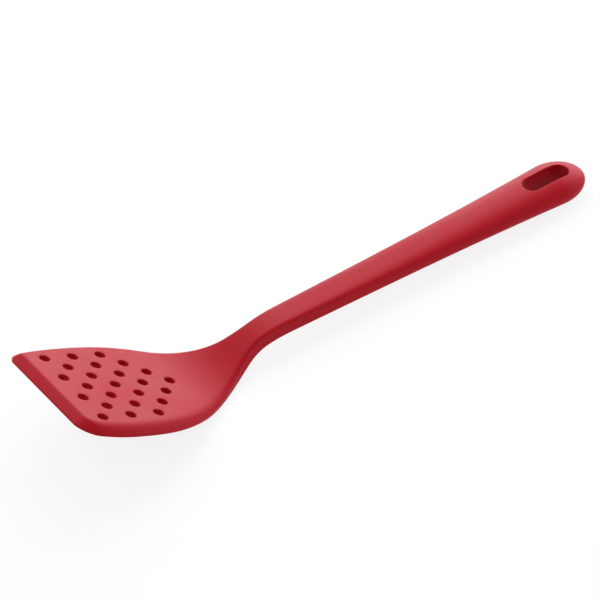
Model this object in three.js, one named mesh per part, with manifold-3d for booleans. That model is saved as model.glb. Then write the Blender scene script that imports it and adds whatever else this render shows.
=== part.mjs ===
// Frying spatula: a silicone skin moulded over a stiff nylon core. Millimetres, +Z up.
// The tool is drawn with its blade flat, then turned onto the heel and handle end it lies on.
import * as THREE from "three";
import { mergeVertices } from "three/addons/utils/BufferGeometryUtils.js";
import Module from "manifold-3d";

// Blade. Its left and right are those of a cook who holds the handle, with the right at +y.
const bladeWidth = 74.2;
const widestAt = 29;
const leftDrawIn = 5.9;
const rightDrawIn = 2.6;
const leftCornerRadius = 9.3;
const rightCornerRadius = 4.2;
const bladeThickness = 5;
const rimThickness = 1.3;
const bevelWidth = 3.9;
const flatLength = 50;

// Neck and handle, with every length measured along the middle of the tool
const toolLength = 318.7;
const bendStart = 70.8;
const riseLength = 37.5;
const riseAngle = 48.5;
const riseEvenness = 0.88;
const returnLength = 31.8;
const handleAngle = 25.6;
const neckAt = 122.8;
const narrowing = 1.37;
const neckWidth = 13.5;
const middleWidth = 19.9;
const endWidth = 28;
const neckThickness = 8;
const middleThickness = 9.4;
const endThickness = 14.6;
const neckSquareness = 8;
const endSquareness = 2.25;
const squarenessFade = 3;
const endRoundLength = 17.8;
const endDropLength = 20.6;

// Drain holes, in staggered rows from the front edge
const drainDiameter = 5.25;
const firstRowAt = 13.45;
const rowPitch = 8;
const drainMargin = 11.6;
const rowCounts = [4, 3, 4, 3, 4, 3, 2, 1];
const holePitch = (bladeWidth - 2 * drainMargin) / (Math.max(...rowCounts) - 1);

// Hanging slot
const slotLength = 26;
const slotWidth = 10.5;
const slotEndMargin = 8;

// Core and the skin round it
const fitClearance = 0.3;
const plateThickness = 2;
const softLip = 4.2;
const skinWall = 1.5;
const drainLiner = 1.6;
const slotLiner = 2;
const pinMarkDiameter = 3;
const pinMarkSpacing = 60;

// How finely the curves are cut up
const cornerSteps = 6;
const bendSteps = 18;
const handleSteps = 12;
const endSteps = 8;
const sectionPoints = 15;
const bevelPoints = 2;
const leastCorner = 2;
const circleSides = 16;
const meshTolerance = 0.004;

const wasm = await Module();
wasm.setup();

const mix = (a, b, t) => a + (b - a) * t;
const clamp = (t) => Math.min(1, Math.max(0, t));
const ease = (t) => clamp(t) ** 2 * (3 - 2 * clamp(t));

// The middle line bends up by riseAngle and then back to handleAngle
function slopeAt(s) {
  const along = (s - bendStart) / riseLength;
  const rise = riseAngle * mix(ease(along), clamp(along), riseEvenness);
  const back = (handleAngle - riseAngle) * ease((s - bendStart - riseLength) / returnLength);
  return THREE.MathUtils.degToRad(rise + back);
}

const spineStep = 0.25;
const spine = [{ x: 0, z: bladeThickness / 2 }];
for (let s = spineStep / 2; s < toolLength + spineStep; s += spineStep) {
  const last = spine[spine.length - 1];
  spine.push({ x: last.x + Math.cos(slopeAt(s)) * spineStep, z: last.z + Math.sin(slopeAt(s)) * spineStep });
}

// A point at distance s along the tool, y across it and h above the middle line
function place(s, y, h) {
  const low = Math.min(spine.length - 2, Math.floor(s / spineStep));
  const part = s / spineStep - low;
  const x = mix(spine[low].x, spine[low + 1].x, part);
  const z = mix(spine[low].z, spine[low + 1].z, part);
  return new THREE.Vector3(x - Math.sin(slopeAt(s)) * h, y, z + Math.cos(slopeAt(s)) * h);
}

// 0 at the neck, 1 where the end of the handle starts to round off
const handlePart = (s) => clamp((s - neckAt) / (toolLength - endRoundLength - neckAt));

// A smooth taper through the sizes at the neck, the middle of the handle and its end
function alongHandle(s, neck, middle, end) {
  const u = handlePart(s);
  return neck * (1 - u) * (1 - 2 * u) + middle * 4 * u * (1 - u) + end * u * (2 * u - 1);
}

const cornerOf = (side) => (side < 0 ? leftCornerRadius : rightCornerRadius);

// Half width on one side of the tool, before its front corners and its end are rounded
function sideHalf(s, side) {
  if (s < widestAt) {
    const drawIn = side < 0 ? leftDrawIn : rightDrawIn;
    return bladeWidth / 2 - drawIn * (1 - s / widestAt) ** 2;
  }
  if (s < neckAt) {
    const t = ((s - widestAt) / (neckAt - widestAt)) ** narrowing;
    return mix(neckWidth, bladeWidth, 0.5 + 0.5 * Math.cos(Math.PI * t)) / 2;
  }
  return alongHandle(s, neckWidth, middleWidth, endWidth) / 2;
}

function halfThickness(s) {
  if (s < neckAt) {
    return mix(bladeThickness, neckThickness, ease((s - bendStart) / (neckAt - bendStart))) / 2;
  }
  return alongHandle(s, neckThickness, middleThickness, endThickness) / 2;
}

// The section is nearly a rectangle at the neck and nearly an ellipse at the end
const squareness = (s) => mix(endSquareness, neckSquareness, (1 - handlePart(s)) ** squarenessFade);

// 0 in the flat blade, 1 once the section is the rounded one of the handle
const roundness = (s) => ease((s - flatLength) / (neckAt - flatLength));
const cornerLoss = (s, radius) => (s < radius ? radius - Math.sqrt(radius ** 2 - (radius - s) ** 2) : 0);
const endFade = (s, end, reach) => Math.sqrt(1 - clamp((s - end + reach) / reach) ** 2);

// Height of the blade's top: flat inside, sloping down to the thin rim all round
function bladeTop(s, y) {
  const radius = cornerOf(y);
  const across = Math.abs(y) - sideHalf(s, y) + radius;
  let inset = Math.min(s, sideHalf(s, y) - Math.abs(y));
  if (s < radius && across > 0) {
    inset = radius - Math.hypot(radius - s, across);
  }
  const part = clamp(inset / bevelWidth);
  return mix(rimThickness, bladeThickness, part) - bladeThickness / 2;
}

// One closed ring of points round the tool. halfOf gives the half width on a side, and plate the
// flat part's top and bottom heights.
function ring(s, halfOf, thick, lip, plate) {
  const round = roundness(s);
  const power = 2 / squareness(s);
  const last = sectionPoints - 1;
  const top = [];
  const bottom = [];
  for (let k = 0; k <= last; k += 1) {
    const angle = ((k + 0.5) / sectionPoints) * Math.PI;
    const half = halfOf(last / 2 - k);
    const crease = clamp(1 - lip / Math.max(half, 2 * lip));
    const fromEdge = Math.min(k, last - k);
    const edge = Math.sign(last / 2 - k) * mix(1, crease, fromEdge / bevelPoints);
    const inner = crease * Math.cos(((k - bevelPoints) / (last - 2 * bevelPoints)) * Math.PI);
    const flatY = fromEdge < bevelPoints ? edge : inner;
    const roundY = Math.sign(Math.cos(angle)) * Math.abs(Math.cos(angle)) ** power;
    const roundH = thick * Math.sin(angle) ** power;
    const y = half * mix(flatY, roundY, round);
    const flat = plate(s, y);
    top.push(place(s, y, mix(flat.top, roundH, round)));
    bottom.unshift(place(s, y, mix(flat.bottom, -roundH, round)));
  }
  return top.concat(bottom);
}

// Skin over a row of rings, closed with a flat cap at each end
function loft(rings) {
  const count = rings[0].length;
  const points = rings.flat();
  const faces = [];
  for (let i = 0; i + 1 < rings.length; i += 1) {
    for (let k = 0; k < count; k += 1) {
      const a = i * count + k;
      const b = i * count + ((k + 1) % count);
      faces.push(a, b, b + count, a, b + count, a + count);
    }
  }
  for (const [first, turned] of [[0, false], [(rings.length - 1) * count, true]]) {
    for (let k = 0; k < count / 2 - 1; k += 1) {
      const a = first + k;
      const b = first + k + 1;
      const c = first + count - 2 - k;
      const d = first + count - 1 - k;
      faces.push(...(turned ? [a, b, c, a, c, d] : [a, c, b, a, d, c]));
    }
  }
  const geometry = new THREE.BufferGeometry().setFromPoints(points);
  geometry.setIndex(faces);
  return geometry;
}

// Stations from start to end: close together at the corners, in the bends and at the round end
function stations(start, radii, end, reach, extra) {
  const list = [start + extra];
  for (const radius of radii) {
    for (let i = 0; i <= cornerSteps; i += 1) {
      list.push(start + radius * (1 - Math.cos((i / cornerSteps) * (Math.PI / 2))));
    }
  }
  for (let s = start + Math.max(...radii) + rowPitch; s < flatLength; s += rowPitch) {
    list.push(s);
  }
  for (let i = 0; i < bendSteps; i += 1) {
    list.push(mix(flatLength, neckAt, i / bendSteps));
  }
  for (let i = 0; i < handleSteps; i += 1) {
    list.push(mix(neckAt, end - reach, i / handleSteps));
  }
  for (let i = 0; i < endSteps; i += 1) {
    list.push(end - reach * (1 - Math.sin((i / (endSteps - 0.5)) * (Math.PI / 2))));
  }
  list.sort((a, b) => a - b);
  return list.filter((s, i) => i === 0 || s - list[i - 1] > 0.05);
}

function outerShape() {
  const plate = (s, y) => ({ top: bladeTop(s, y), bottom: -bladeThickness / 2 });
  const radii = [-1, 1].map(cornerOf);
  const rings = stations(0, radii, toolLength, endRoundLength, bevelWidth).map((s) => {
    const fade = endFade(s, toolLength, endRoundLength);
    const halfOf = (side) => sideHalf(s, side) * fade - cornerLoss(s, cornerOf(side));
    const thick = halfThickness(s) * endFade(s, toolLength, endDropLength);
    return ring(s, halfOf, thick, bevelWidth, plate);
  });
  return loft(rings);
}

// The core, or with grow the room left for it in the skin
function coreShape(grow) {
  const gap = fitClearance - grow;
  const start = softLip + gap;
  const end = toolLength - skinWall - gap;
  const radiusOf = (side) => Math.max(leastCorner, cornerOf(side) - start);
  const radii = [-1, 1].map(radiusOf);
  const reach = endRoundLength - skinWall - gap;
  const plateHalf = plateThickness / 2 + grow;
  const plate = () => ({ top: plateHalf, bottom: -plateHalf });
  const rings = stations(start, radii, end, reach, leastCorner).map((s) => {
    const lip = mix(softLip, skinWall, roundness(s)) + gap;
    const wall = skinWall + gap;
    const fade = endFade(s, end, reach);
    const halfOf = (side) => (sideHalf(s, side) - lip) * fade - cornerLoss(s - start, radiusOf(side));
    const bar = mix(plateHalf, halfThickness(s) - wall, roundness(s));
    const thick = bar * endFade(s, end, endDropLength - wall);
    return ring(s, halfOf, thick, leastCorner, plate);
  });
  return loft(rings);
}

function drainCylinders(diameter) {
  const list = [];
  rowCounts.forEach((count, row) => {
    for (let i = 0; i < count; i += 1) {
      const tall = 4 * bladeThickness;
      const cylinder = new THREE.CylinderGeometry(diameter / 2, diameter / 2, tall, circleSides);
      cylinder.rotateX(Math.PI / 2);
      const at = place(firstRowAt + row * rowPitch, (i - (count - 1) / 2) * holePitch, 0);
      cylinder.translate(at.x, at.y, at.z);
      list.push(cylinder);
    }
  });
  return list;
}

// Moves a shape drawn round the origin to its place on the handle, turned to the slope there
function onHandle(geometry, s, h) {
  geometry.rotateY(-slopeAt(s));
  const at = place(s, 0, h);
  return geometry.translate(at.x, at.y, at.z);
}

// A round-ended bar through the handle, larger all round than the slot by grow
function slotBar(grow) {
  const radius = slotWidth / 2 + grow;
  const reach = Math.max(0.5, slotLength / 2 - slotWidth / 2);
  const outline = new THREE.Shape();
  outline.absarc(reach, 0, radius, -Math.PI / 2, Math.PI / 2);
  outline.absarc(-reach, 0, radius, Math.PI / 2, (3 * Math.PI) / 2);
  const depth = 3 * endThickness;
  const bar = new THREE.ExtrudeGeometry(outline, { depth, bevelEnabled: false, curveSegments: circleSides / 2 });
  bar.translate(0, 0, -depth / 2);
  return onHandle(bar, toolLength - slotEndMargin - slotLength / 2, 0);
}

// Marks left under the handle by the pins that hold the core in the mould
function pinMarks() {
  const middle = (neckAt + toolLength - slotEndMargin - slotLength) / 2;
  return [-1, 0, 1].map((i) => {
    const s = middle + i * pinMarkSpacing;
    const depth = 2 * halfThickness(s);
    const pin = new THREE.CylinderGeometry(pinMarkDiameter / 2, pinMarkDiameter / 2, depth, circleSides);
    pin.rotateX(Math.PI / 2);
    return onHandle(pin, s, -depth / 2 - halfThickness(s) / 4);
  });
}

function solid(geometry) {
  geometry.deleteAttribute("normal");
  geometry.deleteAttribute("uv");
  const merged = mergeVertices(geometry, 0.0001);
  const vertProperties = Float32Array.from(merged.getAttribute("position").array);
  const triVerts = Uint32Array.from(merged.getIndex().array);
  return new wasm.Manifold(new wasm.Mesh({ numProp: 3, vertProperties, triVerts }));
}

function cut(body, tools) {
  return tools.reduce((rest, tool) => rest.subtract(solid(tool)), body);
}

// Core with a hole larger than each drain hole and an eye round the slot
function coreSolid(grow) {
  const gap = fitClearance - grow;
  const holes = drainCylinders(drainDiameter + 2 * (drainLiner + gap));
  return cut(solid(coreShape(grow)), [...holes, slotBar(slotLiner + gap)]);
}

const core = coreSolid(0);
const skin = cut(solid(outerShape()).subtract(coreSolid(fitClearance)), [
  ...drainCylinders(drainDiameter),
  slotBar(0),
  ...pinMarks(),
]);

function geometryOf(body) {
  const mesh = body.simplify(meshTolerance).getMesh();
  const geometry = new THREE.BufferGeometry();
  geometry.setAttribute("position", new THREE.BufferAttribute(Float32Array.from(mesh.vertProperties), 3));
  geometry.setIndex(Array.from(mesh.triVerts));
  return geometry;
}

// Six times the volume, and the same times the x of its centre
function massAlong(geometry) {
  const position = geometry.getAttribute("position");
  const index = geometry.getIndex();
  const corner = [new THREE.Vector3(), new THREE.Vector3(), new THREE.Vector3()];
  const sum = { volume: 0, moment: 0 };
  for (let i = 0; i < index.count; i += 3) {
    corner.forEach((point, k) => point.fromBufferAttribute(position, index.getX(i + k)));
    const volume = corner[0].dot(corner[1].clone().cross(corner[2]));
    sum.volume += volume;
    sum.moment += (volume * (corner[0].x + corner[1].x + corner[2].x)) / 4;
  }
  return sum;
}

// The two points below the centre of mass that the tool would lie on, seen from the side
function restAngle(skinGeometry, coreGeometry) {
  const position = skinGeometry.getAttribute("position");
  const points = [];
  for (let i = 0; i < position.count; i += 1) {
    points.push({ x: position.getX(i), z: position.getZ(i) });
  }
  points.sort((a, b) => a.x - b.x || a.z - b.z);
  const hull = [];
  for (const point of points) {
    while (hull.length > 1) {
      const [a, b] = hull.slice(-2);
      if ((b.x - a.x) * (point.z - a.z) - (b.z - a.z) * (point.x - a.x) > 0) break;
      hull.pop();
    }
    hull.push(point);
  }
  const outer = massAlong(skinGeometry);
  const inner = massAlong(coreGeometry);
  const centre = (outer.moment + inner.moment) / (outer.volume + inner.volume);
  const right = Math.max(1, hull.findIndex((point) => point.x > centre));
  return Math.atan2(hull[right].z - hull[right - 1].z, hull[right].x - hull[right - 1].x);
}

const skinGeometry = geometryOf(skin);
const coreGeometry = geometryOf(core);
const lying = new THREE.Matrix4().makeRotationY(restAngle(skinGeometry, coreGeometry));
const box = new THREE.Box3();
for (const geometry of [skinGeometry, coreGeometry]) {
  geometry.applyMatrix4(lying);
  geometry.computeBoundingBox();
  box.union(geometry.boundingBox);
}
for (const geometry of [skinGeometry, coreGeometry]) {
  geometry.translate(-(box.min.x + box.max.x) / 2, -(box.min.y + box.max.y) / 2, -box.min.z);
  geometry.computeVertexNormals();
}

const silicone = new THREE.MeshStandardMaterial({ color: 0xb92a36, roughness: 0.55, metalness: 0 });
const nylon = new THREE.MeshStandardMaterial({ color: 0x2e2d2f, roughness: 0.6, metalness: 0 });

const siliconeSkin = new THREE.Mesh(skinGeometry, silicone);
siliconeSkin.name = "silicone_skin";
const nylonCore = new THREE.Mesh(coreGeometry, nylon);
nylonCore.name = "nylon_core";

const group = new THREE.Group();
group.name = "frying_spatula";
group.add(siliconeSkin, nylonCore);

export default group;
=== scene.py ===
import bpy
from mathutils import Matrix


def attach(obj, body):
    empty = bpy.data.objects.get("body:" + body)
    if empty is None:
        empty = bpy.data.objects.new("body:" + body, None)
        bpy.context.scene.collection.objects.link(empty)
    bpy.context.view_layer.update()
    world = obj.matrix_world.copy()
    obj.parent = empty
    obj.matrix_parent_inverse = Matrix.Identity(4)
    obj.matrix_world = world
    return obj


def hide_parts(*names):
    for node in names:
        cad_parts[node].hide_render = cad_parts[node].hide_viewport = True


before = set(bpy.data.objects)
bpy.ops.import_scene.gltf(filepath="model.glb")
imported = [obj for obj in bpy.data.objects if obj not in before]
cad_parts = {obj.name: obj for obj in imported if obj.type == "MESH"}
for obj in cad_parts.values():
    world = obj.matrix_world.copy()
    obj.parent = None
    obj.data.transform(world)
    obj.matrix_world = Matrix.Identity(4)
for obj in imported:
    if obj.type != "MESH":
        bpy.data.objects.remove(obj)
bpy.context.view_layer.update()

import math

import bmesh
import bpy
import numpy as np
from mathutils import Matrix, Vector
from mathutils.geometry import delaunay_2d_cdt

scene = bpy.context.scene

# The CAD lies on its heel and handle end. The tool is drawn blade flat, then turned the same way.
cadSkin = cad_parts["silicone_skin"]
flatFace = max(cadSkin.data.polygons, key=lambda face: face.area)
restAngle = math.atan2(abs(flatFace.normal.x), abs(flatFace.normal.z))
frontPoint = min((v.co for v in cadSkin.data.vertices), key=lambda co: co.x)
frontPlace = Matrix.Translation((frontPoint.x, 0, frontPoint.z))
restFromBlade = frontPlace @ Matrix.Rotation(restAngle, 4, "Y")
print("frame: blade turned by", round(math.degrees(restAngle), 2), "degrees")


def ease(t):
    t = np.clip(t, 0, 1)
    return t * t * (3 - 2 * t)


def mix(a, b, t):
    return a + (b - a) * t


# Node helpers
def addNode(tree, kind, spot, **values):
    node = tree.nodes.new(kind)
    node.location = spot
    for key, value in values.items():
        setattr(node, key, value)
    return node


def setInputs(node, values):
    for key, value in values.items():
        node.inputs[key].default_value = value


def link(tree, fromSocket, toSocket):
    tree.links.new(fromSocket, toSocket)


def newGroup(name, inputs, outputs):
    group = bpy.data.node_groups.new(name, "ShaderNodeTree")
    for label, kind in inputs:
        group.interface.new_socket(label, in_out="INPUT", socket_type=kind)
    for label, kind in outputs:
        group.interface.new_socket(label, in_out="OUTPUT", socket_type=kind)
    start = addNode(group, "NodeGroupInput", (-900, 0))
    end = addNode(group, "NodeGroupOutput", (700, 0))
    return group, start, end


grainMix = {"fineDetail": 2.0, "slowDetail": 3.0, "fineShare": 0.35, "strength": 0.6}


def mouldedGrain():
    # Fine satin grain of a moulded surface, with a slow unevenness under it
    group, start, end = newGroup(
        "mouldedGrain",
        [("Vector", "NodeSocketVector"), ("Fine Scale", "NodeSocketFloat"),
         ("Slow Scale", "NodeSocketFloat"), ("Depth", "NodeSocketFloat")],
        [("Tone", "NodeSocketFloat"), ("Normal", "NodeSocketVector")])
    fine = addNode(group, "ShaderNodeTexNoise", (-600, 150), noise_dimensions="3D")
    setInputs(fine, {"Detail": grainMix["fineDetail"]})
    slow = addNode(group, "ShaderNodeTexNoise", (-600, -150), noise_dimensions="3D")
    setInputs(slow, {"Detail": grainMix["slowDetail"]})
    both = addNode(group, "ShaderNodeMath", (-300, 100), operation="MULTIPLY_ADD")
    both.inputs[1].default_value = grainMix["fineShare"]
    bump = addNode(group, "ShaderNodeBump", (0, 100))
    setInputs(bump, {"Strength": grainMix["strength"]})
    link(group, start.outputs["Vector"], fine.inputs["Vector"])
    link(group, start.outputs["Vector"], slow.inputs["Vector"])
    link(group, start.outputs["Fine Scale"], fine.inputs["Scale"])
    link(group, start.outputs["Slow Scale"], slow.inputs["Scale"])
    link(group, fine.outputs["Fac"], both.inputs[0])
    link(group, slow.outputs["Fac"], both.inputs[2])
    link(group, both.outputs[0], bump.inputs["Height"])
    link(group, start.outputs["Depth"], bump.inputs["Distance"])
    link(group, slow.outputs["Fac"], end.inputs["Tone"])
    link(group, bump.outputs["Normal"], end.inputs["Normal"])
    return group


lintSpread = {"speckSize": 0.12, "patchScale": 70.0, "patchFrom": 0.5, "patchFull": 0.68}


def lintSpecks():
    # Sparse pale specks, as silicone picks up lint and dust
    group, start, end = newGroup(
        "lintSpecks",
        [("Vector", "NodeSocketVector"), ("Scale", "NodeSocketFloat"), ("Amount", "NodeSocketFloat")],
        [("Mask", "NodeSocketFloat")])
    cells = addNode(group, "ShaderNodeTexVoronoi", (-600, 100), feature="F1")
    patches = addNode(group, "ShaderNodeTexNoise", (-600, -150))
    setInputs(patches, {"Scale": lintSpread["patchScale"]})
    spots = addNode(group, "ShaderNodeMapRange", (-300, 100))
    setInputs(spots, {"From Max": lintSpread["speckSize"], "To Min": 1.0, "To Max": 0.0})
    where = addNode(group, "ShaderNodeMapRange", (-300, -150))
    setInputs(where, {"From Min": lintSpread["patchFrom"], "From Max": lintSpread["patchFull"]})
    product = addNode(group, "ShaderNodeMath", (0, 0), operation="MULTIPLY")
    scaled = addNode(group, "ShaderNodeMath", (250, 0), operation="MULTIPLY")
    link(group, start.outputs["Vector"], cells.inputs["Vector"])
    link(group, start.outputs["Vector"], patches.inputs["Vector"])
    link(group, start.outputs["Scale"], cells.inputs["Scale"])
    link(group, cells.outputs["Distance"], spots.inputs["Value"])
    link(group, patches.outputs["Fac"], where.inputs["Value"])
    link(group, spots.outputs["Result"], product.inputs[0])
    link(group, where.outputs["Result"], product.inputs[1])
    link(group, product.outputs[0], scaled.inputs[0])
    link(group, start.outputs["Amount"], scaled.inputs[1])
    link(group, scaled.outputs[0], end.inputs["Mask"])
    return group


grainGroup = mouldedGrain()
lintGroup = lintSpecks()


def newMaterial(name):
    material = bpy.data.materials.new(name)
    material.use_nodes = True
    tree = material.node_tree
    tree.nodes.clear()
    out = addNode(tree, "ShaderNodeOutputMaterial", (900, 0))
    shader = addNode(tree, "ShaderNodeBsdfPrincipled", (550, 0))
    coords = addNode(tree, "ShaderNodeTexCoord", (-900, 0))
    link(tree, shader.outputs["BSDF"], out.inputs["Surface"])
    return material, tree, shader, coords


def useGroup(tree, group, coords, spot, values):
    node = addNode(tree, "ShaderNodeGroup", spot, node_tree=group)
    link(tree, coords.outputs["Object"], node.inputs["Vector"])
    setInputs(node, values)
    return node


siliconeLook = {
    "light": (0.46, 0.0045, 0.016, 1), "deep": (0.415, 0.0028, 0.0115, 1),
    "dust": (0.75, 0.45, 0.45, 1),
    "grain": {"Fine Scale": 2600.0, "Slow Scale": 45.0, "Depth": 0.00012},
    "lint": {"Scale": 420.0, "Amount": 0.14},
    "roughness": {"From Min": 0.3, "From Max": 0.7, "To Min": 0.40, "To Max": 0.48},
    "shader": {"IOR": 1.41, "Specular IOR Level": 0.16, "Subsurface Weight": 0.08,
               "Subsurface Radius": (1.0, 0.25, 0.2), "Subsurface Scale": 0.002,
               "Sheen Weight": 0.10, "Sheen Roughness": 0.3},
}


def siliconeMaterial():
    material, tree, shader, coords = newMaterial("redSilicone")
    grain = useGroup(tree, grainGroup, coords, (-600, 200), siliconeLook["grain"])
    lint = useGroup(tree, lintGroup, coords, (-600, -150), siliconeLook["lint"])
    tone = addNode(tree, "ShaderNodeMix", (-250, 250), data_type="RGBA")
    setInputs(tone, {"A": siliconeLook["deep"], "B": siliconeLook["light"]})
    dusty = addNode(tree, "ShaderNodeMix", (50, 200), data_type="RGBA")
    setInputs(dusty, {"B": siliconeLook["dust"]})
    gloss = addNode(tree, "ShaderNodeMapRange", (-250, 0))
    setInputs(gloss, siliconeLook["roughness"])
    setInputs(shader, siliconeLook["shader"])
    link(tree, grain.outputs["Tone"], tone.inputs["Factor"])
    link(tree, tone.outputs["Result"], dusty.inputs["A"])
    link(tree, lint.outputs["Mask"], dusty.inputs["Factor"])
    link(tree, grain.outputs["Tone"], gloss.inputs["Value"])
    link(tree, dusty.outputs["Result"], shader.inputs["Base Color"])
    link(tree, gloss.outputs["Result"], shader.inputs["Roughness"])
    link(tree, grain.outputs["Normal"], shader.inputs["Normal"])
    return material


nylonLook = {
    "dark": (0.018, 0.018, 0.019, 1), "fibre": (0.05, 0.05, 0.052, 1),
    "grain": {"Fine Scale": 1400.0, "Slow Scale": 45.0, "Depth": 0.00006},
    "fibres": {"Scale": 900.0, "Amount": 0.6},
    "shader": {"Roughness": 0.55},
}


def nylonMaterial():
    material, tree, shader, coords = newMaterial("filledNylon")
    grain = useGroup(tree, grainGroup, coords, (-600, 200), nylonLook["grain"])
    fibres = useGroup(tree, lintGroup, coords, (-600, -150), nylonLook["fibres"])
    tone = addNode(tree, "ShaderNodeMix", (-250, 200), data_type="RGBA")
    setInputs(tone, {"A": nylonLook["dark"], "B": nylonLook["fibre"]})
    setInputs(shader, nylonLook["shader"])
    link(tree, fibres.outputs["Mask"], tone.inputs["Factor"])
    link(tree, tone.outputs["Result"], shader.inputs["Base Color"])
    link(tree, grain.outputs["Normal"], shader.inputs["Normal"])
    return material


silicone = siliconeMaterial()
nylon = nylonMaterial()
print("materials:", silicone.name, "and", nylon.name)

# Silicone skin, in mm and degrees. Places along it are measured on its middle line, from the front.
skin = {
    "length": 318.7, "bladeWidth": 74.2, "widestAt": 29.0, "flatTo": 50.0,
    "drawIn": {-1: 5.9, 1: 2.6}, "corner": {-1: 9.3, 1: 4.2},  # -1 is the left side, 1 the right
    "thickness": 5.0, "rim": 1.3, "bevel": 3.9, "leftBevel": 3.3,
    "rimFillet": 0.5, "creaseFillet": 2.8, "leftFillet": 7.0, "creaseBlend": 8.0,
    "bendStart": 70.8, "riseLength": 37.5, "riseAngle": 48.5, "riseEven": 0.88,
    "returnLength": 31.8, "handleAngle": 25.6, "neckAt": 122.8, "narrowing": 1.37,
    "width": (13.5, 19.9, 28.0), "depth": (8.0, 9.4, 14.6),  # at the neck, halfway and at the end
    "square": (8.0, 2.25), "squareFade": 3, "endRound": 17.8, "endDrop": 20.6,
    # How finely it is meshed
    "spinePoints": 1276, "innerPoints": 21, "bevelSteps": 6, "heelSteps": 4,
    "pathReach": 12.0, "leastInset": 0.07, "cornerGap": 1.0,
    "sideSteps": 4, "cornerSteps": 16, "frontSteps": 10,
    "bladeStep": 2.5, "neckStep": 1.5, "handleStep": 3.5, "slotStep": 2.0,
    "endRings": 26, "endReach": 0.985,
    "patchTolerance": 1e-5, "mergeWithin": 0.003, "sharpAngle": 40.0,
}
# Hanging slot. patchEdge is the share of a ring that stays plain at each side of the patch.
slot = {
    "length": 26.8, "width": 10.5, "endMargin": 8.5, "fillet": 0.5,
    "arcPoints": 14, "straightPoints": 3, "filletRings": 7, "clearance": 0.6,
    "finerBefore": 8.0, "patchBefore": 5.0, "patchAfter": 4.5, "patchEdge": 0.2,
}
halfThick = skin["thickness"] / 2


def slopeAt(s):
    along = (s - skin["bendStart"]) / skin["riseLength"]
    rise = skin["riseAngle"] * mix(ease(along), np.clip(along, 0, 1), skin["riseEven"])
    back = skin["handleAngle"] - skin["riseAngle"]
    back = back * ease((s - skin["bendStart"] - skin["riseLength"]) / skin["returnLength"])
    return np.radians(rise + back)


spineS = np.linspace(0, skin["length"], skin["spinePoints"])
spineMid = slopeAt((spineS[1:] + spineS[:-1]) / 2)
spineX = np.concatenate([[0], np.cumsum(np.cos(spineMid))]) * spineS[1]
spineZ = np.concatenate([[0], np.cumsum(np.sin(spineMid))]) * spineS[1] + halfThick


def place(s, y, h):
    # Points at s along the tool, y to the side and h above its middle
    s, y, h = np.broadcast_arrays(np.asarray(s, float), np.asarray(y, float), np.asarray(h, float))
    slope = slopeAt(s)
    x = np.interp(s, spineS, spineX) - np.sin(slope) * h
    z = np.interp(s, spineS, spineZ) + np.cos(slope) * h
    return np.stack([x, y, z], axis=-1)


def handlePart(s):
    handleLength = skin["length"] - skin["endRound"] - skin["neckAt"]
    return np.clip((s - skin["neckAt"]) / handleLength, 0, 1)


def alongHandle(s, sizes):
    neck, middle, end = sizes
    u = handlePart(s)
    return neck * (1 - u) * (1 - 2 * u) + middle * 4 * u * (1 - u) + end * u * (2 * u - 1)


def sideHalf(s, side=1):
    if s < skin["widestAt"]:
        return skin["bladeWidth"] / 2 - skin["drawIn"][side] * (1 - s / skin["widestAt"]) ** 2
    if s < skin["neckAt"]:
        t = ((s - skin["widestAt"]) / (skin["neckAt"] - skin["widestAt"])) ** skin["narrowing"]
        return mix(skin["width"][0], skin["bladeWidth"], 0.5 + 0.5 * math.cos(math.pi * t)) / 2
    return alongHandle(s, skin["width"]) / 2


def endFade(s, reach):
    return math.sqrt(max(0.0, 1 - max(0.0, (s - skin["length"] + reach) / reach) ** 2))


def roundSize(s):
    # Half width, half depth and squareness of the rounded section
    if s < skin["neckAt"]:
        grow = ease((s - skin["bendStart"]) / (skin["neckAt"] - skin["bendStart"]))
        depth = mix(skin["thickness"], skin["depth"][0], grow)
    else:
        depth = alongHandle(s, skin["depth"])
    half = sideHalf(s) * endFade(s, skin["endRound"])
    square = mix(skin["square"][1], skin["square"][0], (1 - handlePart(s)) ** skin["squareFade"])
    return half, depth / 2 * endFade(s, skin["endDrop"]), square


def filletPath(points, radii, steps):
    # A path of straight lines with its inner corners rounded, as (inset, height) pairs
    path = []
    for before, at, after, radius in zip(points, points[1:], points[2:], radii):
        a = (np.array(before) - at) / np.linalg.norm(np.array(before) - at)
        b = (np.array(after) - at) / np.linalg.norm(np.array(after) - at)
        half = math.acos(np.clip(a @ b, -1, 1)) / 2
        middle = at + (a + b) / np.linalg.norm(a + b) * radius / math.sin(half)
        first = at + a * radius / math.tan(half) - middle
        last = at + b * radius / math.tan(half) - middle
        turn = math.pi - 2 * half
        for t in np.linspace(0, 1, steps + 1):
            swing = first * math.sin((1 - t) * turn) + last * math.sin(t * turn)
            path.append(middle + swing / math.sin(turn))
    return np.array(path)


rimTop = skin["rim"] - halfThick


def bevelPath(bevel, crease):
    path = [(0, rimTop - 1), (0, rimTop), (bevel, halfThick), (skin["pathReach"], halfThick)]
    return filletPath(path, [skin["rimFillet"], crease], skin["bevelSteps"])


topPath = bevelPath(skin["bevel"], skin["creaseFillet"])
leftPath = bevelPath(skin["leftBevel"], skin["leftFillet"])
bottomPath = filletPath([(0, rimTop), (0, -halfThick), (skin["pathReach"], -halfThick)],
                        [skin["rimFillet"]], skin["heelSteps"])
rimInsets = []
for inset in sorted(np.concatenate([topPath[:, 0], leftPath[:, 0], bottomPath[:, 0]])):
    if not rimInsets or inset - rimInsets[-1] > skin["leastInset"]:
        rimInsets.append(float(inset))
rimInsets = np.array(rimInsets)
rimCount = len(rimInsets)
columns = 2 * rimCount + skin["innerPoints"]


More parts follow.
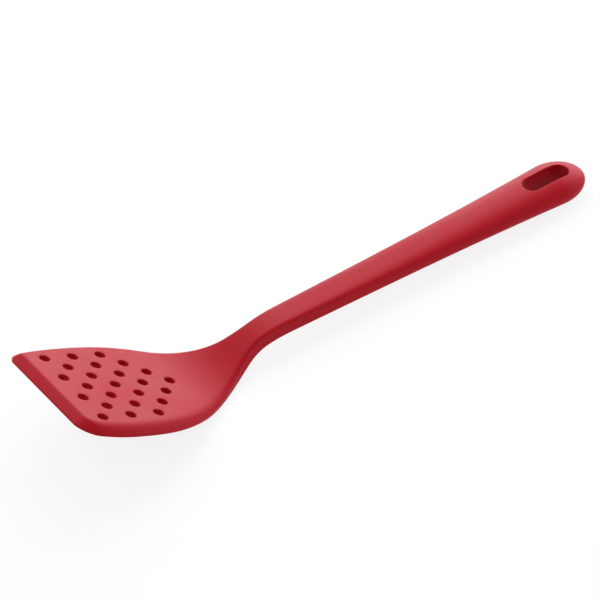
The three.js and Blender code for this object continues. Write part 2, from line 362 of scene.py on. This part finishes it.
def bladeHeights(s, y, inset):
    # Top and bottom of the flat blade. The left crease is softer than the front one,
    # and they meet round the corner.
    top = np.interp(inset, topPath[:, 0], topPath[:, 1])
    leftTop = np.interp(inset, leftPath[:, 0], leftPath[:, 1])
    fromCorner = (s - sideHalf(s, -1) - y) / skin["creaseBlend"]
    leftShare = np.where(y < 0, ease(0.5 + fromCorner), 0)
    return mix(top, leftTop, leftShare), np.interp(inset, bottomPath[:, 0], bottomPath[:, 1])


def sectionAt(s):
    # y, top height and bottom height of the points across the tool, from the right rim to the left
    rightY, leftY = sideHalf(s, 1) - rimInsets, (rimInsets - sideHalf(s, -1))[::-1]
    innerY = np.linspace(rightY[-1], leftY[0], skin["innerPoints"] + 2)[1:-1]
    flatY = np.concatenate([rightY, innerY, leftY])
    inset = np.where(flatY > 0, sideHalf(s, 1) - flatY, sideHalf(s, -1) + flatY)
    flatTop, flatBottom = bladeHeights(s, flatY, inset)
    half, depth, square = roundSize(s)
    angle = (np.arange(columns) + 0.5) / columns * math.pi
    roundY = half * np.sign(np.cos(angle)) * np.abs(np.cos(angle)) ** (2 / square)
    roundH = depth * np.sin(angle) ** (2 / square)
    b = ease((s - skin["flatTo"]) / (skin["neckAt"] - skin["flatTo"]))
    return mix(flatY, roundY, b), mix(flatTop, roundH, b), mix(flatBottom, -roundH, b)


# The rings start behind the front corners
joinAt = max(skin["corner"].values()) + skin["cornerGap"]


def stationList():
    slotStart = skin["length"] - slot["endMargin"] - slot["length"] - slot["finerBefore"]
    endStart = skin["length"] - skin["endDrop"]
    endAngles = np.linspace(0, skin["endReach"], skin["endRings"]) * math.pi / 2
    return np.concatenate([
        np.arange(joinAt, skin["flatTo"], skin["bladeStep"]),
        np.arange(skin["flatTo"], skin["neckAt"], skin["neckStep"]),
        np.arange(skin["neckAt"], slotStart, skin["handleStep"]),
        np.arange(slotStart, endStart, skin["slotStep"]),
        skin["length"] - skin["endDrop"] * (1 - np.sin(endAngles))])


stations = stationList()
ringY, points, quads = [], [], []
for s in stations:
    y, top, bottom = sectionAt(s)
    ringY.append(y)
    points.extend(place(s, y, top))
    points.extend(place(s, y[::-1], bottom[::-1]))
perRing = 2 * columns
skipped = set()


def vertexAt(i, k, onTop):
    return i * perRing + (k if onTop else perRing - 1 - k)


def surfaceHeight(s, y, onTop):
    half, depth, square = roundSize(s)
    h = depth * max(0.0, 1 - abs(y / half) ** square) ** (1 / square)
    return h if onTop else -h


def addLoop(loop, heights):
    first = len(points)
    points.extend(place(np.array(loop)[:, 0], np.array(loop)[:, 1], heights))
    return list(range(first, first + len(loop)))


def circleLoop(s, y, radius, sides):
    turns = np.arange(sides) / sides * 2 * math.pi
    return [(s + radius * math.cos(t), y + radius * math.sin(t)) for t in turns]


def insideLoop(spot, loop):
    inside = False
    for (s1, y1), (s2, y2) in zip(loop, loop[1:] + loop[:1]):
        crosses = (y1 > spot[1]) != (y2 > spot[1])
        if crosses and spot[0] < (s2 - s1) * (spot[1] - y1) / (y2 - y1) + s1:
            inside = not inside
    return inside


def gridPatch(sRange, kRange, onTop):
    # Border and inner points of a patch of the rings, which the plain faces then leave out
    first, last = (int(np.searchsorted(stations, s)) for s in sRange)
    low, high = kRange
    sides = [(i, low) for i in range(first, last + 1)]
    sides += [(last, k) for k in range(low + 1, high + 1)]
    sides += [(i, high) for i in range(last - 1, first - 1, -1)]
    frontRow = [(first, k) for k in range(high - 1, low, -1)]
    inner = [(i, k) for i in range(first + 1, last) for k in range(low + 1, high)]
    skipped.update((i, k, onTop) for i in range(first, last) for k in range(low, high))
    return [[((float(stations[i]), float(ringY[i][k])), vertexAt(i, k, onTop)) for i, k in part]
            for part in (sides, frontRow, inner)]


def isClear(spot, holes):
    # Each hole is (s, y, half of its straight part, radius to keep clear of)
    return all(math.hypot(max(0.0, abs(spot[0] - s) - straight), spot[1] - y) > radius
               for s, y, straight, radius in holes)


def openPatch(border, inner, loops, loopIds, onTop, holes):
    # Fills a patch with triangles that leave the loops open
    outline = [spot for spot, index in border]
    flat, ids = list(outline), [index for spot, index in border]
    edges = [(n, (n + 1) % len(border)) for n in range(len(border))]
    for loop, loopId in zip(loops, loopIds):
        start = len(flat)
        flat += [(float(s), float(y)) for s, y in loop]
        ids += loopId
        edges += [(start + n, start + (n + 1) % len(loop)) for n in range(len(loop))]
    for spot, index in inner:
        if isClear(spot, holes):
            flat.append(spot)
            ids.append(index)
    corners, _, faces, origins, *_ = delaunay_2d_cdt(
        [Vector(spot) for spot in flat], edges, [], 0, skin["patchTolerance"])
    for face in faces:
        middle = sum((corners[n] for n in face), Vector((0, 0))) / len(face)
        if insideLoop(middle, outline) and not any(insideLoop(middle, loop) for loop in loops):
            polygon = [ids[origins[n][0]] for n in face]
            quads.append(polygon if onTop else polygon[::-1])


def joinLoops(a, b):
    for n in range(len(a)):
        m = (n + 1) % len(a)
        quads.append([a[n], a[m], b[m], b[n]])


def filletRings(loopAt, radius, piece, onTop):
    # Rings that roll the handle's surface over into an opening
    rings = []
    for t in np.linspace(0, math.pi / 2, piece["filletRings"]):
        loop = loopAt(radius + piece["fillet"] * (1 - math.sin(t)))
        sink = piece["fillet"] * (1 - math.cos(t)) * (1 if onTop else -1)
        rings.append(addLoop(loop, [surfaceHeight(s, y, onTop) - sink for s, y in loop]))
    return rings


def openHandle(rings, outer, sRange, patchEdge, onTop, hole):
    # Opens the handle along the outer loop and walls the opening with the rings
    edge = int(columns * patchEdge)
    sides, frontRow, inner = gridPatch(sRange, (edge, columns - 1 - edge), onTop)
    openPatch(sides + frontRow, inner, [outer], [rings[0]], onTop, [hole])
    for a, b in zip(rings, rings[1:]):
        joinLoops(a, b)


def rimContour(inset):
    # Points at one distance inside the outline, from the left side round the front to the right
    halves = []
    for side in (-1, 1):
        centre = max(skin["corner"][side], inset)
        radius = centre - inset
        sideS = np.linspace(joinAt, centre, skin["sideSteps"] + 1)
        line = [(s, sideHalf(s, side) - inset) for s in sideS]
        for angle in np.linspace(0, math.pi / 2, skin["cornerSteps"] + 1)[1:]:
            s = centre - radius * math.sin(angle)
            line.append((s, sideHalf(s, side) - centre + radius * math.cos(angle)))
        line += [(inset, line[-1][1] * t) for t in np.linspace(1, 0, skin["frontSteps"] + 1)[1:]]
        halves.append([(s, side * y) for s, y in line])
    return halves[0] + halves[1][-2::-1]


# Front of the blade: bands that follow the outline, from the rim to the flat faces
bands = {True: [], False: []}
contours = [rimContour(inset) for inset in rimInsets]
for n, (inset, contour) in enumerate(zip(rimInsets, contours)):
    for onTop in (True, False):
        heights = [bladeHeights(s, y, inset)[0 if onTop else 1] for s, y in contour]
        ids = addLoop(contour, heights)
        ids[0], ids[-1] = vertexAt(0, columns - 1 - n, onTop), vertexAt(0, n, onTop)
        bands[onTop].append(ids)
for outer, inner in zip(bands[True][:-1] + bands[False][1:] + bands[True][:1],
                        bands[True][1:] + bands[False][:-1] + bands[False][:1]):
    for n in range(len(outer) - 1):
        quads.append([outer[n], outer[n + 1], inner[n + 1], inner[n]])

# Drain holes: a checkerboard clipped to a point towards the neck
drains = {
    "diameter": 5.25, "fillet": 0.5, "rows": 8, "columns": 7, "firstRow": 13.45,
    "rowPitch": 8.0, "columnPitch": 8.5,
    "sides": 32, "filletRings": 6, "clearance": 0.7, "patchEnd": 77.0,
}
holeReach = drains["diameter"] / 2 + drains["fillet"]
holeSpots = []
for row in range(drains["rows"]):
    for column in range(drains["columns"]):
        offset = column - (drains["columns"] - 1) / 2
        if (row + column) % 2 == 0 and abs(offset) + row < drains["rows"]:
            rowS = drains["firstRow"] + row * drains["rowPitch"]
            holeSpots.append((rowS, offset * drains["columnPitch"]))
drainLoops = [circleLoop(s, y, holeReach, drains["sides"]) for s, y in holeSpots]
drainHoles = [(s, y, 0.0, holeReach + drains["clearance"]) for s, y in holeSpots]
for onTop in (True, False):
    drainIds = []
    for loop in drainLoops:
        # Cut square through the flat blade, so the last hole keeps its plane where the bend begins
        drainIds.append(list(range(len(points), len(points) + len(loop))))
        points.extend((s, y, skin["thickness"] if onTop else 0.0) for s, y in loop)
    sides, frontRow, inner = gridPatch(
        (joinAt, drains["patchEnd"]), (rimCount - 1, columns - rimCount), onTop)
    front = list(zip(contours[-1], bands[onTop][-1]))[1:-1]
    openPatch(sides + front, frontRow + inner, drainLoops, drainIds, onTop, drainHoles)

# Hanging slot: its centre line, with the direction in which each point moves out to the edge
slotMiddle = skin["length"] - slot["endMargin"] - slot["length"] / 2
slotStraight = slot["length"] / 2 - slot["width"] / 2
slotEdge = []
for side in (1, -1):
    for t in np.linspace(-math.pi / 2, math.pi / 2, slot["arcPoints"] + 1):
        slotEdge.append((slotMiddle + side * slotStraight, side * math.cos(t), side * math.sin(t)))
    for step in np.linspace(0, 1, slot["straightPoints"] + 2)[1:-1]:
        slotEdge.append((slotMiddle + side * slotStraight * (1 - 2 * step), 0.0, float(side)))


def slotLoop(radius):
    return [(s + radius * outS, radius * outY) for s, outS, outY in slotEdge]


slotReach = slot["width"] / 2 + slot["fillet"]
slotHole = (slotMiddle, 0.0, slotStraight, slotReach + slot["clearance"])
slotPatch = (slotMiddle - slot["length"] / 2 - slot["patchBefore"],
             slotMiddle + slot["length"] / 2 + slot["patchAfter"])
slotRims = {}
for onTop in (True, False):
    rings = filletRings(slotLoop, slot["width"] / 2, slot, onTop)
    openHandle(rings, slotLoop(slotReach), slotPatch, slot["patchEdge"], onTop, slotHole)
    slotRims[onTop] = rings[-1]
joinLoops(slotRims[True], slotRims[False])

# Marks of the mould pins, under the handle
pins = {"diameter": 3.0, "spacing": 60.0, "depth": 1.3, "fillet": 0.25,
        "sides": 20, "filletRings": 4, "clearance": 0.5, "patchHalf": 6.0, "patchEdge": 0.22}
pinRadius = pins["diameter"] / 2
pinReach = pinRadius + pins["fillet"]
pinMiddle = (skin["neckAt"] + skin["length"] - slot["endMargin"] - slot["length"]) / 2
for step in (-1, 0, 1):
    pinS = pinMiddle + step * pins["spacing"]
    rings = filletRings(lambda radius: circleLoop(pinS, 0.0, radius, pins["sides"]),
                        pinRadius, pins, False)
    floorLoop = circleLoop(pinS, 0.0, pinRadius, pins["sides"])
    floorHeights = [surfaceHeight(s, y, False) + pins["depth"] for s, y in floorLoop]
    rings.append(addLoop(floorLoop, floorHeights))
    openHandle(rings, circleLoop(pinS, 0.0, pinReach, pins["sides"]),
               (pinS - pins["patchHalf"], pinS + pins["patchHalf"]), pins["patchEdge"], False,
               (pinS, 0.0, 0.0, pinReach + pins["clearance"]))
    quads.append(rings[-1])

# The rest of the surface and the tip of the handle. The two side columns are never left out.
for i in range(len(stations) - 1):
    for j in range(perRing):
        onTop = j < columns - 1
        k = j if onTop else perRing - 2 - j
        if j != columns - 1 and j != perRing - 1 and (i, k, onTop) in skipped:
            continue
        a, b = i * perRing + j, i * perRing + (j + 1) % perRing
        quads.append([a, b, b + perRing, a + perRing])
tip = len(points)
points.extend(place([skin["length"]], [0], [0]))
lastRing = (len(stations) - 1) * perRing
for j in range(perRing):
    quads.append([lastRing + j, lastRing + (j + 1) % perRing, tip])
print("skin: surface of", len(quads), "faces")


def drainLining():
    # One lining, from the top rim over its fillet and down the wall to the lower rim
    rows = []
    for t in np.linspace(0, math.pi / 2, drains["filletRings"]):
        radius = holeReach - drains["fillet"] * math.sin(t)
        rows.append((radius, halfThick - drains["fillet"] * (1 - math.cos(t))))
    rows += [(radius, -height) for radius, height in reversed(rows)]
    count = drains["sides"]
    corners = [(x, y, height) for radius, height in rows for x, y in circleLoop(0, 0, radius, count)]
    faces = []
    for a in range(len(rows) - 1):
        for n in range(count):
            m = (n + 1) % count
            faces.append((a * count + n, a * count + m, (a + 1) * count + m, (a + 1) * count + n))
    mesh = bpy.data.meshes.new("drainLining")
    mesh.from_pydata(corners, [], faces)
    return bpy.data.objects.new("drainLinings", mesh)


def drainTree():
    # Puts the lining on a checkerboard of rows and columns, clipped to a point
    tree = bpy.data.node_groups.new("drainRows", "GeometryNodeTree")
    for label, kind in [("Geometry", "Geometry"), ("Rows", "Int"), ("Columns", "Int"),
                        ("First Row", "Float"), ("Row Pitch", "Float"), ("Column Pitch", "Float"),
                        ("Height", "Float"), ("Material", "Material")]:
        tree.interface.new_socket(label, in_out="INPUT", socket_type="NodeSocket" + kind)
    tree.interface.new_socket("Geometry", in_out="OUTPUT", socket_type="NodeSocketGeometry")
    start = addNode(tree, "NodeGroupInput", (-1400, 0))
    end = addNode(tree, "NodeGroupOutput", (1400, 0))
    rowCount, columnCount = start.outputs["Rows"], start.outputs["Columns"]
    rowPitch, columnPitch = start.outputs["Row Pitch"], start.outputs["Column Pitch"]

    def maths(operation, spot, *values):
        node = addNode(tree, "ShaderNodeMath", spot, operation=operation)
        for index, value in enumerate(values):
            if isinstance(value, (int, float)):
                node.inputs[index].default_value = value
            else:
                link(tree, value, node.inputs[index])
        return node.outputs[0]

    # A grid with one point for each place
    rowSpan = maths("SUBTRACT", (-1200, 300), rowCount, 1)
    columnSpan = maths("SUBTRACT", (-1200, 150), columnCount, 1)
    sizeX = maths("MULTIPLY", (-1000, 300), rowSpan, rowPitch)
    sizeY = maths("MULTIPLY", (-1000, 150), columnSpan, columnPitch)
    grid = addNode(tree, "GeometryNodeMeshGrid", (-750, 300))
    link(tree, sizeX, grid.inputs["Size X"])
    link(tree, sizeY, grid.inputs["Size Y"])
    link(tree, rowCount, grid.inputs["Vertices X"])
    link(tree, columnCount, grid.inputs["Vertices Y"])

    # Every second point goes, and so do those past the clipped sides
    position = addNode(tree, "GeometryNodeInputPosition", (-1000, -150))
    parts = addNode(tree, "ShaderNodeSeparateXYZ", (-800, -150))
    link(tree, position.outputs[0], parts.inputs[0])
    lengthways = maths("DIVIDE", (-600, -100), parts.outputs["X"], rowPitch)
    row = maths("ADD", (-400, -100), lengthways, maths("DIVIDE", (-600, 50), rowSpan, 2))
    sideways = maths("DIVIDE", (-600, -300), parts.outputs["Y"], columnPitch)
    column = maths("ADD", (-400, -300), sideways, maths("DIVIDE", (-600, -450), columnSpan, 2))
    steps = maths("ROUND", (-100, -200), maths("ADD", (-200, -200), row, column))
    odd = maths("MODULO", (0, -200), steps, 2)
    outside = maths("ADD", (-200, -400), row, maths("ABSOLUTE", (-400, -500), sideways))
    limit = maths("SUBTRACT", (-200, -550), rowCount, 0.5)
    clipped = maths("GREATER_THAN", (0, -400), outside, limit)
    dropped = maths("ADD", (200, -300), odd, clipped)
    drop = addNode(tree, "GeometryNodeDeleteGeometry", (400, 200), domain="POINT")
    link(tree, grid.outputs["Mesh"], drop.inputs["Geometry"])
    link(tree, maths("GREATER_THAN", (300, -300), dropped, 0.5), drop.inputs["Selection"])

    # A lining on each point that is left, moved to its place in the blade
    scatter = addNode(tree, "GeometryNodeInstanceOnPoints", (600, 200))
    link(tree, drop.outputs["Geometry"], scatter.inputs["Points"])
    link(tree, start.outputs["Geometry"], scatter.inputs["Instance"])
    real = addNode(tree, "GeometryNodeRealizeInstances", (800, 200))
    link(tree, scatter.outputs["Instances"], real.inputs["Geometry"])
    move = addNode(tree, "GeometryNodeTransform", (1000, 200))
    shift = addNode(tree, "ShaderNodeCombineXYZ", (800, -50))
    middle = maths("DIVIDE", (500, -50), sizeX, 2)
    shiftX = maths("ADD", (650, -50), middle, start.outputs["First Row"])
    link(tree, shiftX, shift.inputs["X"])
    link(tree, start.outputs["Height"], shift.inputs["Z"])
    link(tree, real.outputs["Geometry"], move.inputs["Geometry"])
    link(tree, shift.outputs[0], move.inputs["Translation"])
    paint = addNode(tree, "GeometryNodeSetMaterial", (1200, 200))
    link(tree, move.outputs["Geometry"], paint.inputs["Geometry"])
    link(tree, start.outputs["Material"], paint.inputs["Material"])
    link(tree, paint.outputs["Geometry"], end.inputs["Geometry"])
    return tree


linings = drainLining()
scene.collection.objects.link(linings)
drainRows = drainTree()
modifier = linings.modifiers.new("drainRows", "NODES")
modifier.node_group = drainRows
given = {"Rows": drains["rows"], "Columns": drains["columns"], "First Row": drains["firstRow"],
         "Row Pitch": drains["rowPitch"], "Column Pitch": drains["columnPitch"],
         "Height": halfThick, "Material": silicone}
for item in drainRows.interface.items_tree:
    if item.in_out == "INPUT" and item.name in given:
        modifier[item.identifier] = given[item.name]
linings.update_tag()
evaluated = linings.evaluated_get(bpy.context.evaluated_depsgraph_get())
liningMesh = bpy.data.meshes.new_from_object(evaluated)
linings.modifiers.remove(modifier)
bpy.data.objects.remove(linings)
print("drains:", len(liningMesh.polygons), "faces of lining in", len(holeSpots), "holes")

body = bmesh.new()
corners = [body.verts.new(co) for co in points]
for quad in quads:
    body.faces.new([corners[n] for n in quad])
body.from_mesh(liningMesh)
loose = [v for v in body.verts if not v.link_faces]
bmesh.ops.delete(body, geom=loose, context="VERTS")
bmesh.ops.remove_doubles(body, verts=body.verts, dist=skin["mergeWithin"])
bmesh.ops.recalc_face_normals(body, faces=body.faces)
openEdges = sum(1 for edge in body.edges if len(edge.link_faces) != 2)
skinMesh = bpy.data.meshes.new("spatulaSkin")
body.to_mesh(skinMesh)
body.free()
bpy.data.meshes.remove(liningMesh)
skinMesh.transform(restFromBlade @ Matrix.Scale(0.001, 4))  # mm to m
skinMesh.polygons.foreach_set("use_smooth", [True] * len(skinMesh.polygons))
skinMesh.set_sharp_from_angle(angle=math.radians(skin["sharpAngle"]))
skinMesh.materials.clear()
skinMesh.materials.append(silicone)
spatulaSkin = bpy.data.objects.new("spatulaSkin", skinMesh)
scene.collection.objects.link(spatulaSkin)
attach(spatulaSkin, "root")
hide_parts("silicone_skin")
print("skin:", len(skinMesh.polygons), "faces,", openEdges, "open edges")

# The core stays as the CAD has it, inside the skin
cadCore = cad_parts["nylon_core"]
cadCore.data.materials.clear()
cadCore.data.materials.append(nylon)
print("core:", len(cadCore.data.polygons), "faces of", nylon.name)


# Floor, light and camera, in m
def backdropRays(tree):
    # 1 for the rays that show the backdrop or its reflection, 0 for those that light the object
    path = addNode(tree, "ShaderNodeLightPath", (0, 500))
    seen = addNode(tree, "ShaderNodeMath", (200, 500), operation="MAXIMUM")
    shown = addNode(tree, "ShaderNodeMath", (400, 500), operation="MAXIMUM")
    link(tree, path.outputs["Is Camera Ray"], seen.inputs[0])
    link(tree, path.outputs["Is Glossy Ray"], seen.inputs[1])
    link(tree, seen.outputs[0], shown.inputs[0])
    link(tree, path.outputs["Is Transmission Ray"], shown.inputs[1])
    return shown.outputs[0]


floorLook = {"reach": 6.0, "whiteShare": 0.85, "patchScale": 3.0,
             "pale": (0.96, 0.96, 0.96, 1), "paler": (0.98, 0.98, 0.98, 1),
             "shader": {"Roughness": 0.9, "Specular IOR Level": 0.1}}


def floorMaterial():
    material, tree, shader, coords = newMaterial("paleFloor")
    noise = addNode(tree, "ShaderNodeTexNoise", (-600, 0))
    setInputs(noise, {"Scale": floorLook["patchScale"]})
    tone = addNode(tree, "ShaderNodeMix", (-200, 0), data_type="RGBA")
    setInputs(tone, {"A": floorLook["pale"], "B": floorLook["paler"]})
    setInputs(shader, floorLook["shader"])
    link(tree, coords.outputs["Object"], noise.inputs["Vector"])
    link(tree, noise.outputs["Fac"], tone.inputs["Factor"])
    link(tree, tone.outputs["Result"], shader.inputs["Base Color"])
    # Seen by the camera and in reflections it is mostly plain white, and keeps a faint shadow
    glow = addNode(tree, "ShaderNodeEmission", (550, -400))
    share = addNode(tree, "ShaderNodeMath", (550, 500), operation="MULTIPLY")
    share.inputs[1].default_value = floorLook["whiteShare"]
    blend = addNode(tree, "ShaderNodeMixShader", (750, 300))
    link(tree, backdropRays(tree), share.inputs[0])
    link(tree, share.outputs[0], blend.inputs[0])
    link(tree, shader.outputs["BSDF"], blend.inputs[1])
    link(tree, glow.outputs["Emission"], blend.inputs[2])
    link(tree, blend.outputs["Shader"], tree.nodes["Material Output"].inputs["Surface"])
    return material


reach = floorLook["reach"]
floorMesh = bpy.data.meshes.new("floor")
floorCorners = [(-reach, -reach, 0), (reach, -reach, 0), (reach, reach, 0), (-reach, reach, 0)]
floorMesh.from_pydata(floorCorners, [], [(0, 1, 2, 3)])
floorMesh.materials.append(floorMaterial())
floor = bpy.data.objects.new("floor", floorMesh)
scene.collection.objects.link(floor)

studio = {"ambient": 0.42, "backdrop": 1.0}
world = bpy.data.worlds.new("studio")
scene.world = world
world.use_nodes = True
worldTree = world.node_tree
background = worldTree.nodes["Background"]
setInputs(background, {"Color": (1, 1, 1, 1)})
sky = addNode(worldTree, "ShaderNodeMapRange", (600, 300))
setInputs(sky, {"To Min": studio["ambient"], "To Max": studio["backdrop"]})
link(worldTree, backdropRays(worldTree), sky.inputs["Value"])
link(worldTree, sky.outputs["Result"], background.inputs["Strength"])

lamps = {
    "overhead": {"spot": (-0.2, 0.85, 1.15), "aim": (0, 0, 0), "size": (1.8, 1.2),
                 "watts": 11, "colour": (1.0, 0.98, 0.97)},
    "side": {"spot": (1.4, -0.6, 0.48), "aim": (0, 0, 0.03), "size": (1.0, 0.8),
             "watts": 4.5, "colour": (1.0, 0.98, 0.97)},
    "rear": {"spot": (1.25, 1.0, 0.75), "aim": (0, 0, 0.03), "size": (2.1, 1.6),
             "watts": 37.7, "colour": (0.706, 0.922, 1.0)},
}
for name, values in lamps.items():
    lamp = bpy.data.lights.new(name, "AREA")
    lamp.shape = "RECTANGLE"
    lamp.size, lamp.size_y = values["size"]
    lamp.energy = values["watts"]
    lamp.color = values["colour"]
    holder = bpy.data.objects.new(name, lamp)
    holder.location = values["spot"]
    holder.rotation_mode = "QUATERNION"
    towards = Vector(values["aim"]) - Vector(values["spot"])
    holder.rotation_quaternion = towards.to_track_quat("-Z", "Y")
    holder.visible_camera = False
    scene.collection.objects.link(holder)

# The camera is placed from the blade laid flat, and turns with it
lens = {"spot": (-0.87999, -1.01758, 0.69865), "aim": (0.14212, 0.0085, 0.04021),
        "up": (0.04238, 0.50934, 0.85952), "length": 198.0, "sensor": 36.0, "reach": 50.0}
back = (Vector(lens["spot"]) - Vector(lens["aim"])).normalized()
right = Vector(lens["up"]).cross(back).normalized()
turned = Matrix((right, back.cross(right), back)).transposed().to_4x4()
cameraData = bpy.data.cameras.new("camera")
cameraData.lens = lens["length"]
cameraData.sensor_width = lens["sensor"]
cameraData.clip_end = lens["reach"]
camera = bpy.data.objects.new("camera", cameraData)
scene.collection.objects.link(camera)
camera.matrix_world = restFromBlade @ Matrix.Translation(lens["spot"]) @ turned
scene.camera = camera
scene.view_settings.view_transform = "Standard"
print("stage:", floor.name + ",", len(lamps), "lamps and", camera.name)
